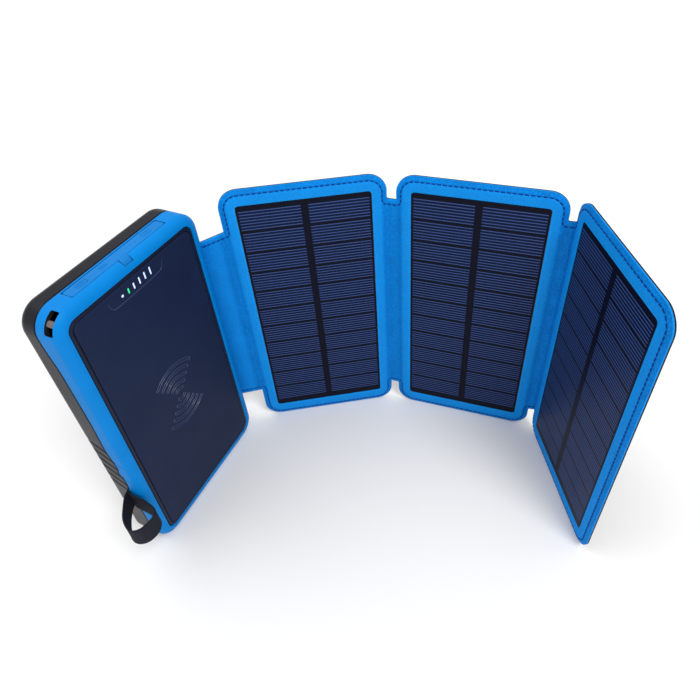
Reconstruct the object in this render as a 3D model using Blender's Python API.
"""Foldable solar phone charger.

A wireless power bank stands upright on its lower end.  A leather flap leaves
its right side and carries a chain of three solar panels, joined by narrow
leather spines, that fans out around the front of the bank.

Frame: origin at the centre of the bank's lower face, +X to the bank's right,
+Y to its rear, +Z up.  Sizes are in millimetres.  The bank's own places are
counted from its left side (x), its front face (y) and its lower face (z), and
a pair of numbers is a (low, high) range along one axis.
"""
import math

import bmesh
import bpy
from mathutils import Vector

MM = 0.001

# ---- power bank ----
BANK_W, BANK_T, BANK_H = 82.2, 20.0, 155.0
CORNER_R = 10.0
WALL = 2.0
GAP = 0.3  # around the port cover's ends and each solar laminate

# ---- hinge chain, seen from above: heading 0 is +X, and 90 degrees is +Y ----
HINGE_X, HINGE_Y = 83.7, 15.6  # crease at the bank's right side
FLAP_LEN, FLAP_HEADING = 21.5, -65.7
PANEL1_TURN = 8.6  # panel 1 against the flap
SPINE12_LEN, SPINE12_TURN = 4.8, -26.4
SPINE23_LEN, PANEL3_TURN = 3.8, -65.7
PANEL_END, STRIP_END = 1.25, 0.2  # clear of the crease lines
TAB_Z = (18.4, 127.2)  # flap where it enters the bank
FLAP_Z = (23.4, 136.0)  # flap where it meets panel 1
SPINE_Z = (14.6, 143.9)

for ob in list(bpy.data.objects):
    bpy.data.objects.remove(ob, do_unlink=True)


# ================= materials =================
def srgb_to_linear(value):
    return value / 12.92 if value <= 0.04045 else ((value + 0.055) / 1.055) ** 2.4


def paint(name, rgb, roughness, metallic=0.0):
    """Plain material; rgb is sRGB, 0 to 255."""
    material = bpy.data.materials.new(name)
    material.use_nodes = True
    shader = material.node_tree.nodes["Principled BSDF"]
    colour = (*(srgb_to_linear(v / 255) for v in rgb), 1)
    shader.inputs["Base Color"].default_value = colour
    shader.inputs["Roughness"].default_value = roughness
    shader.inputs["Metallic"].default_value = metallic
    material.diffuse_color = colour
    return material


BLACK_SHELL = paint("black_shell", rgb=(44, 44, 50), roughness=0.38)
BLUE_SHELL = paint("blue_shell", rgb=(6, 136, 232), roughness=0.42)
BLUE_RUBBER = paint("blue_rubber", rgb=(38, 132, 222), roughness=0.55)
NAVY_PLATE = paint("navy_plate", rgb=(34, 40, 64), roughness=0.5)
TRIM = paint("dark_trim", rgb=(24, 24, 36), roughness=0.45)
LAMP = paint("lamp_plastic", rgb=(232, 238, 240), roughness=0.3)
BLUE_LEATHER = paint("blue_leather", rgb=(30, 130, 220), roughness=0.62)
BLACK_LEATHER = paint("black_leather", rgb=(28, 28, 34), roughness=0.65)
BOARD = paint("fibre_board", rgb=(122, 104, 78), roughness=0.8)
CELL = paint("solar_laminate", rgb=(30, 34, 62), roughness=0.25)
PCB = paint("green_board", rgb=(22, 88, 52), roughness=0.5)
STEEL = paint("bright_steel", rgb=(190, 192, 196), roughness=0.3, metallic=1.0)
DARK_STEEL = paint("dark_steel", rgb=(60, 60, 64), roughness=0.4, metallic=1.0)
COPPER = paint("copper", rgb=(196, 120, 78), roughness=0.35, metallic=1.0)
FERRITE = paint("ferrite", rgb=(46, 46, 48), roughness=0.7)
FOIL = paint("cell_foil", rgb=(176, 180, 184), roughness=0.35, metallic=0.6)
RUBBER = paint("black_rubber", rgb=(30, 30, 32), roughness=0.7)
RIBBON = paint("black_ribbon", rgb=(34, 35, 42), roughness=0.85)
CABLE = paint("flat_cable", rgb=(214, 214, 208), roughness=0.5)


# ================= places =================
def local(x, y, z):
    return Vector((x * MM, y * MM, z * MM))


def bank(x, y, z):
    """A point of the bank, from its left, front and lower faces."""
    return local(x - BANK_W / 2, y - BANK_T / 2, z)


def seen_from(origin):
    """Place function that puts bank coordinates in the frame of a pivot at origin."""
    return lambda x, y, z: local(x - origin[0], y - origin[1], z - origin[2])


def around(centre, half):
    return centre - half, centre + half


def grown(span, margin):
    return span[0] - margin, span[1] + margin


def empty(name, location, heading=0.0, parent=None):
    ob = bpy.data.objects.new(name, None)
    bpy.context.scene.collection.objects.link(ob)
    ob.parent = parent
    ob.location = location
    ob.rotation_euler = (0, 0, math.radians(heading))
    return ob


# ================= outlines in x-z =================
def rounded_rect(x, z, radius, steps=5, side_z=()):
    """Anticlockwise rounded rectangle; side_z adds points on both upright sides."""
    def arc(corner_x, corner_z, start):
        angles = [math.radians(start + 90 * i / steps) for i in range(steps + 1)]
        return [(corner_x + radius * math.cos(a), corner_z + radius * math.sin(a)) for a in angles]

    left, right = x[0] + radius, x[1] - radius
    low, high = z[0] + radius, z[1] - radius
    return (arc(right, low, -90) + [(x[1], side) for side in side_z]
            + arc(right, high, 0) + arc(left, high, 90)
            + [(x[0], side) for side in reversed(side_z)] + arc(left, low, 180))


def bank_outline(inset, radius, steps=5, side_z=()):
    """Rounded rectangle at a distance inside the bank's outer skin."""
    return rounded_rect((inset, BANK_W - inset), (inset, BANK_H - inset), radius, steps, side_z)


def circle(x, z, radius, sides):
    angles = [2 * math.pi * i / sides for i in range(sides)]
    return [(x + radius * math.cos(a), z + radius * math.sin(a)) for a in angles]


# ================= solids =================
def loft(name, rings, material=None, closed=False, place=bank, parent=None):
    """Solid through rings of equal count: closed joins last to first, else both ends are capped."""
    bm = bmesh.new()
    loops = [[bm.verts.new(place(*point)) for point in ring] for ring in rings]
    count = len(rings[0])
    pairs = list(zip(loops, loops[1:]))
    if closed:
        pairs.append((loops[-1], loops[0]))
    for a, b in pairs:
        for i in range(count):
            j = (i + 1) % count
            bm.faces.new((a[i], a[j], b[j], b[i]))
    if not closed:
        bm.faces.new(loops[0][::-1])
        bm.faces.new(loops[-1])
    bmesh.ops.recalc_face_normals(bm, faces=bm.faces[:])
    mesh = bpy.data.meshes.new(name)
    bm.to_mesh(mesh)
    bm.free()
    ob = bpy.data.objects.new(name, mesh)
    bpy.context.scene.collection.objects.link(ob)
    if material:
        mesh.materials.append(material)
    mesh.shade_smooth()
    mesh.set_sharp_from_angle(angle=math.radians(32))
    ob.parent = parent
    return ob


def at_depth(outline, y):
    return [(x, y, z) for x, z in outline]


def slab(name, outline, y, material, place=bank, parent=None):
    """Outline in x-z extruded along y."""
    return loft(name, [at_depth(outline, depth) for depth in y], material,
                place=place, parent=parent)


def window(name, outer, inner, y, material, place=bank, parent=None):
    """Plate with a window; the two outlines have the same count."""
    return loft(name, [at_depth(outer, y[0]), at_depth(outer, y[1]),
                       at_depth(inner, y[1]), at_depth(inner, y[0])],
                material, True, place, parent)


def box(name, x, y, z, material=None, place=bank, parent=None):
    rings = [[(x[0], y[0], height), (x[1], y[0], height), (x[1], y[1], height),
              (x[0], y[1], height)] for height in z]
    return loft(name, rings, material, place=place, parent=parent)


def turned(name, x, z, profile, material=None, sides=16):
    """Solid of revolution about a line along y; profile is (y, radius) pairs."""
    return loft(name, [at_depth(circle(x, z, radius, sides), y) for y, radius in profile], material)


def boolean(target, tool, operation):
    modifier = target.modifiers.new(tool.name, "BOOLEAN")
    modifier.object = tool
    modifier.operation = operation
    modifier.solver = "EXACT"
    tool.hide_render = True
    tool.display_type = "WIRE"


def cut(target, tool):
    boolean(target, tool, "DIFFERENCE")


def fuse(target, tool):
    boolean(target, tool, "UNION")


# ================= power bank housing =================
# joint line between the blue frame and the black shell
SEAM_RIGHT = 11.0  # depth on the right side
SEAM_LEFT = (  # (z, depth) on the left side
    (0.0, 6.7), (18.0, 6.8), (28.0, 7.1), (44.7, 8.8),
    (53.7, 7.2), (62.0, 8.4), (65.6, 7.7), (73.4, 8.5),
    (76.5, 9.2), (86.0, 8.8), (104.0, 8.6), (120.0, 8.9),
    (130.0, 9.3), (137.5, 10.5), (142.0, 11.0), (BANK_H, 11.0))
SIDE_Z = [z for z, depth in SEAM_LEFT[1:-1]]
SEAM_MARGIN = 12.0  # the depth stays constant this close to either side
SEAM_GAP = 0.15  # from the joint line to either part

BEVEL_IN, BEVEL_DEEP = 5.0, 3.5
LEDGE_IN = 8.5
LEDGE_Y = (2.6, 3.4)
GASKET_IN = (WALL + 0.3, WALL + 1.2)
GASKET_HALF = 0.9


def seam(x, z):
    """Depth of the joint line."""
    for (z0, y0), (z1, y1) in zip(SEAM_LEFT, SEAM_LEFT[1:]):
        if z0 <= z <= z1:
            left = y0 + (y1 - y0) * (z - z0) / (z1 - z0)
    across = (BANK_W - SEAM_MARGIN - x) / (BANK_W - 2 * SEAM_MARGIN)
    return SEAM_RIGHT + (left - SEAM_RIGHT) * min(max(across, 0.0), 1.0)


def housing_outline(inset):
    return bank_outline(inset, CORNER_R - inset, 6, SIDE_Z)


def ring(inset, y):
    """Housing outline at one depth."""
    return at_depth(housing_outline(inset), y)


def seam_ring(inset, offset):
    """Housing outline that follows the joint line, offset to the rear."""
    return [(x, seam(x, z) + offset, z) for x, z in housing_outline(inset)]


front_frame = loft("front_frame", [
    ring(BEVEL_IN, 0.0), ring(3.3, 0.35), ring(1.6, 1.2), ring(0.45, 2.3), ring(0.0, BEVEL_DEEP),
    seam_ring(0.0, -SEAM_GAP), seam_ring(WALL, -SEAM_GAP), ring(WALL, LEDGE_Y[1]),
    ring(LEDGE_IN, LEDGE_Y[1]), ring(LEDGE_IN, LEDGE_Y[0]), ring(BEVEL_IN, LEDGE_Y[0])],
    BLUE_SHELL, closed=True)

rear_shell = loft("rear_shell", [
    ring(4.2, 18.2), ring(WALL, 16.2), seam_ring(WALL, SEAM_GAP), seam_ring(0.0, SEAM_GAP),
    ring(0.0, 16.4), ring(0.35, 17.9), ring(1.3, 19.2), ring(3.4, BANK_T)], BLACK_SHELL)

case_gasket = loft("case_gasket", [
    seam_ring(GASKET_IN[0], -GASKET_HALF), seam_ring(GASKET_IN[0], GASKET_HALF),
    seam_ring(GASKET_IN[1], GASKET_HALF), seam_ring(GASKET_IN[1], -GASKET_HALF)],
    RUBBER, closed=True)

# ---- four corner screws; profiles are (y, radius) ----
BOSS_IN = 8.4
BOSSES = [(x, z) for x in (BOSS_IN, BANK_W - BOSS_IN) for z in (BOSS_IN, BANK_H - BOSS_IN)]
BOSS = ((3.0, 2.6), (17.85, 2.6))
BOSS_BORE = ((8.0, 1.1), (18.5, 1.1))
SCREW_HOLE = ((17.0, 1.1), (19.0, 1.1), (19.02, 2.3), (21.0, 2.3))
CASE_SCREW = ((9.0, 0.45), (9.8, 0.8), (19.3, 0.8), (19.32, 1.95), (19.75, 1.95), (19.9, 1.5))

# every boss is joined on before the first one is bored
for k, (x, z) in enumerate(BOSSES, 1):
    fuse(front_frame, turned(f"boss_{k}", x, z, BOSS))
for k, (x, z) in enumerate(BOSSES, 1):
    cut(front_frame, turned(f"boss_bore_{k}", x, z, BOSS_BORE, sides=12))
    cut(rear_shell, turned(f"screw_hole_{k}", x, z, SCREW_HOLE, sides=12))
    turned(f"case_screw_{k}", x, z, CASE_SCREW, DARK_STEEL, sides=12)

# ---- opening for the port cover, and in front of it the well of the power button ----
OPENING_X = around(BANK_W / 2, 26.5)
BUTTON_X = 40.6
cut(front_frame, box("port_opening", OPENING_X, (3.75, 9.95), (151.0, 157.0)))
cut(front_frame, box("button_opening", around(BUTTON_X, 2.5), (0.7, 3.95), (151.2, 157.1)))

# ---- lanyard eyelet across the upper left corner ----
DIAGONAL = math.sqrt(0.5)
CORNER_IN = CORNER_R * (1 - DIAGONAL)  # middle of the corner arc, from both sides


def corner(along, y, inward):
    """Point at the upper left corner: along its tangent, up and right, and inwards from it."""
    return bank(CORNER_IN + along * DIAGONAL + inward * DIAGONAL, y,
                BANK_H - CORNER_IN + along * DIAGONAL - inward * DIAGONAL)


empty("eyelet_frame", local(0, 0, 0))
cut(front_frame, box("eyelet_cut", (-4.9, 4.6), (2.45, 6.35), (-3.0, 3.9), place=corner))
slab("lanyard_pin", circle(-0.4, 1.6, 1.15, 12), (2.75, 6.05), STEEL, corner)

# ---- slit at the joint line for the wrist loop's tail ----
LOOP_ROOT = (-0.9, 8.6, 0.0)
LOOP_Z = (32.6, 45.0)
LOOP_T = 1.2
LOOP_SLITS = (  # part, name ending, x range, half the depth, margin in z
    (front_frame, "front", (-1.0, 3.4), 0.9, 0.35),
    (rear_shell, "rear", (-1.02, 3.42), 0.92, 0.37),
    (case_gasket, "gasket", (-1.04, 3.6), 1.3, 0.39))
for part, ending, x, half, margin in LOOP_SLITS:
    cut(part, box(f"loop_slit_{ending}", x, around(LOOP_ROOT[1], half), grown(LOOP_Z, margin)))
box("loop_tail", (0.95, 3.0), around(LOOP_ROOT[1], LOOP_T / 2), LOOP_Z, RIBBON)

# ---- the flap's tab, clamped inside the rear shell; profiles are (y, radius) ----
TAB_SCREW_X = 75.6
TAB_SCREW_Z = (38.0, 80.0, 122.0)
TAB_BOSS = ((16.9, 1.7), (18.9, 1.7))
TAB_BORE = ((16.0, 0.95), (18.4, 0.95))
TAB_HOLE = ((12.0, 0.95), (17.3, 0.95))
TAB_SCREW = ((12.1, 1.2), (12.25, 1.6), (12.8, 1.6), (12.82, 0.6), (17.9, 0.6))

cut(rear_shell, box("flap_slot", (76.5, 84.0), around(HINGE_Y, 1.35), grown(TAB_Z, 0.4)))
tab = box("flap_tab", (73.2, HINGE_X - PANEL_END), around(HINGE_Y, 1.0), TAB_Z, BLACK_LEATHER)
clamp = box("tab_clamp_strip", around(TAB_SCREW_X, 3.6), (13.1, 14.3), (24.0, 125.4), STEEL)
for k, z in enumerate(TAB_SCREW_Z, 1):
    fuse(rear_shell, turned(f"tab_boss_{k}", TAB_SCREW_X, z, TAB_BOSS, sides=12))
for k, z in enumerate(TAB_SCREW_Z, 1):
    cut(rear_shell, turned(f"tab_bore_{k}", TAB_SCREW_X, z, TAB_BORE, sides=10))
    for part in (tab, clamp):
        cut(part, turned(f"{part.name}_hole_{k}", TAB_SCREW_X, z, TAB_HOLE, sides=10))
    turned(f"tab_screw_{k}", TAB_SCREW_X, z, TAB_SCREW, STEEL, sides=10)

# ================= front plate and indicator lamps =================
PLATE_BACK = 2.3
LAMPS = (  # x, lower z, upper z
    (31.7, 142.7, 143.9), (35.2, 142.0, 144.6), (38.4, 142.0, 145.0),
    (41.75, 142.1, 145.4), (45.0, 142.2, 145.7), (48.3, 142.2, 146.0))

window("plate_trim", bank_outline(5.3, 4.9), bank_outline(6.9, 3.6), (0.15, PLATE_BACK), TRIM)
plate = slab("charging_plate", bank_outline(7.2, 3.4), (0.0, PLATE_BACK), NAVY_PLATE)
pipe = box("indicator_light_pipe", (30.2, 49.8), (2.6, 3.4), (141.3, 146.2), LAMP)
for k, (x, *z) in enumerate(LAMPS, 1):
    cut(plate, box(f"lamp_slot_{k}", around(x, 0.75), (-1.0, 3.0), grown(z, 0.28)))
    fuse(pipe, box(f"lamp_{k}", around(x, 0.5), (0.02, 3.0), z))

# ================= wireless coil =================
COIL_X, COIL_Z = 40.2, 74.5
COIL_R_OUT, COIL_R_IN = 21.5, 10.5
FERRITE_HALF = 25.0
window("charging_coil", circle(COIL_X, COIL_Z, COIL_R_OUT, 36),
       circle(COIL_X, COIL_Z, COIL_R_IN, 36), (2.6, 3.2), COPPER)
slab("ferrite_sheet", rounded_rect(around(COIL_X, FERRITE_HALF), around(COIL_Z, FERRITE_HALF), 2, 2),
     (3.45, 3.95), FERRITE)

# ================= cells and electronics =================
BATTERY_T = 5.8
for k, front in enumerate((4.3, 10.5), 1):
    slab(f"battery_cell_{k}", rounded_rect((6.0, 70.0), (14.0, 112.0), 2.5, 3),
         (front, front + BATTERY_T), FOIL)
box("main_board", (12.0, 70.0), (9.9, 11.1), (116.0, 151.0), PCB)


def socket(name, x, y, z, wall):
    """Metal socket, open at its top."""
    def rectangle(inset, height):
        x0, x1 = grown(x, -inset)
        y0, y1 = grown(y, -inset)
        return [(x0, y0, height), (x1, y0, height), (x1, y1, height), (x0, y1, height)]

    loft(name, [rectangle(wall, z[0] + wall), rectangle(wall, z[1]),
                rectangle(0, z[1]), rectangle(0, z[0])], STEEL)


SOCKET_TOP, SOCKET_BACK = 152.6, 9.6
USB_A_W = 13.1
for k, left in enumerate((15.6, 51.9), 1):
    socket(f"usb_a_port_{k}", (left, left + USB_A_W), (3.8, SOCKET_BACK), (138.6, SOCKET_TOP), 0.45)
socket("usb_c_port", (29.0, 37.9), (6.2, SOCKET_BACK), (145.2, SOCKET_TOP), 0.35)

# ================= power button =================
# a low cap on the rounded front edge, with an arm that reaches back over the switch
BUTTON_ORIGIN = (BUTTON_X, 2.3, BANK_H)
BUTTON_SPAN = around(BUTTON_X, 2.2)
BUTTON_LOW = 151.8
BUTTON_TOPS = ((1.1, 153.6), (1.7, 155.0), (3.6, 155.5))  # y, upper z

box("button_switch", BUTTON_SPAN, (4.3, 9.6), (146.5, 151.0), RUBBER)
button_pivot = empty("power_button_pivot", bank(*BUTTON_ORIGIN))
at_button = seen_from(BUTTON_ORIGIN)
x0, x1 = BUTTON_SPAN
button = loft("power_button", [
    [(x0, y, BUTTON_LOW), (x1, y, BUTTON_LOW), (x1, y, top), (x0, y, top)]
    for y, top in BUTTON_TOPS], BLUE_RUBBER, place=at_button, parent=button_pivot)
fuse(button, box("button_arm", around(BUTTON_X, 1.5), (3.0, 8.4), (151.82, 152.9),
                 place=at_button, parent=button_pivot))

# ================= port cover =================
COVER_ORIGIN = (BANK_W / 2, 9.6, BANK_H)
PLUG_TOP = 153.9
PLUGS = (  # x range, y range, lower z
    ((16.8, 27.5), (5.4, 8.3), 151.7),
    ((53.1, 63.8), (5.4, 8.3), 151.7),
    ((30.2, 36.6), (7.1, 8.5), 152.5))

cover_pivot = empty("port_cover_pivot", bank(*COVER_ORIGIN))
at_cover = seen_from(COVER_ORIGIN)
cover = box("port_cover", grown(OPENING_X, -GAP), (4.15, COVER_ORIGIN[1]), (153.2, BANK_H),
            BLUE_RUBBER, at_cover, cover_pivot)
for k, (x, y, low) in enumerate(PLUGS, 1):
    fuse(cover, box(f"port_plug_{k}", x, y, (low, PLUG_TOP), place=at_cover, parent=cover_pivot))

# ================= wrist loop =================
# (x, y) on the ribbon's middle line, anticlockwise from its root round the teardrop
LOOP_PATH = (
    (-1.3, 9.0), (-2.6, 8.4), (-6.0, 6.6), (-10.5, 3.0), (-14.2, -1.6),
    (-15.0, -5.4), (-13.0, -8.9), (-9.6, -10.8), (-6.2, -10.9), (-3.4, -9.2),
    (-1.9, -6.4), (-1.2, -2.0), (-1.1, 3.0), (-1.0, 7.4))


def loop_side(offset, z):
    """The path at one height, moved sideways; a positive offset goes inside the loop."""
    points = []
    count = len(LOOP_PATH)
    for i, (x, y) in enumerate(LOOP_PATH):
        before, after = LOOP_PATH[i - 1], LOOP_PATH[(i + 1) % count]
        run_x, run_y = after[0] - before[0], after[1] - before[1]
        length = math.hypot(run_x, run_y)
        points.append((x - run_y / length * offset, y + run_x / length * offset, z))
    return points


loop_pivot = empty("wrist_loop_pivot", bank(*LOOP_ROOT))
loft("wrist_loop", [loop_side(-LOOP_T / 2, LOOP_Z[0]), loop_side(-LOOP_T / 2, LOOP_Z[1]),
                    loop_side(LOOP_T / 2, LOOP_Z[1]), loop_side(LOOP_T / 2, LOOP_Z[0])],
     RIBBON, True, seen_from(LOOP_ROOT), loop_pivot)

# ================= folding chain =================
# each part runs along its pivot's +X, with its front towards the pivot's -Y
PANEL_W, PANEL_H, PANEL_T = 78.7, 157.8, 3.2
PANEL_R = 9.5
PANEL_LEATHER_T = 0.8
BOARD_IN = 2.0  # board edge inside the leather edge
CELL_X = (7.67, 7.67 + 63.35)
CELL_Z = (9.0, 9.0 + 140.5)


def leather_strip(prefix, length, near, far, parent):
    """Flap or spine: blue leather in front, black behind, and a flat cable between."""
    x0, x1 = STRIP_END, length - STRIP_END
    outline = [(x0, near[0]), (x1, far[0]), (x1, far[1]), (x0, near[1])]
    slab(f"{prefix}_front_leather", outline, (-1.05, -0.35), BLUE_LEATHER, local, parent)
    slab(f"{prefix}_back_leather", outline, (0.35, 1.05), BLACK_LEATHER, local, parent)
    box(f"{prefix}_flat_cable", (x0, x1), (-0.15, 0.15), (68.0, 80.0), CABLE, local, parent)


def panel(k, parent):
    """Solar panel: window leather, laminate, stiffener board and back leather."""
    front, back = around(0.0, PANEL_T / 2)
    x, z = (PANEL_END, PANEL_W - PANEL_END), (0.0, PANEL_H)
    outline = rounded_rect(x, z, PANEL_R)
    window(f"panel_{k}_front_leather", outline,
           rounded_rect(grown(CELL_X, GAP), grown(CELL_Z, GAP), 1.6),
           (front, front + PANEL_LEATHER_T), BLUE_LEATHER, local, parent)
    slab(f"panel_{k}_solar_laminate", rounded_rect(CELL_X, CELL_Z, 1.3, 3),
         (front + 0.05, front + 0.85), CELL, local, parent)
    slab(f"panel_{k}_board",
         rounded_rect(grown(x, -BOARD_IN), grown(z, -BOARD_IN), PANEL_R - BOARD_IN, 4),
         (front + 1.15, front + 2.1), BOARD, local, parent)
    slab(f"panel_{k}_back_leather", outline, (back - PANEL_LEATHER_T, back), BLACK_LEATHER,
         local, parent)


def link(name, distance, turn, parent):
    """Pivot at a distance along its parent, turned against it."""
    return empty(name, local(distance, 0, 0), turn, parent)


flap_pivot = empty("flap_pivot", bank(HINGE_X, HINGE_Y, 0), FLAP_HEADING)
leather_strip("flap", FLAP_LEN, TAB_Z, FLAP_Z, flap_pivot)
panel_1_pivot = link("panel_1_pivot", FLAP_LEN, PANEL1_TURN, flap_pivot)
panel(1, panel_1_pivot)
spine_12_pivot = link("spine_12_pivot", PANEL_W, SPINE12_TURN, panel_1_pivot)
leather_strip("spine_12", SPINE12_LEN, SPINE_Z, SPINE_Z, spine_12_pivot)
panel_2_pivot = link("panel_2_pivot", SPINE12_LEN, 0.0, spine_12_pivot)
panel(2, panel_2_pivot)
spine_23_pivot = link("spine_23_pivot", PANEL_W, 0.0, panel_2_pivot)
leather_strip("spine_23", SPINE23_LEN, SPINE_Z, SPINE_Z, spine_23_pivot)
panel_3_pivot = link("panel_3_pivot", SPINE23_LEN, PANEL3_TURN, spine_23_pivot)
panel(3, panel_3_pivot)
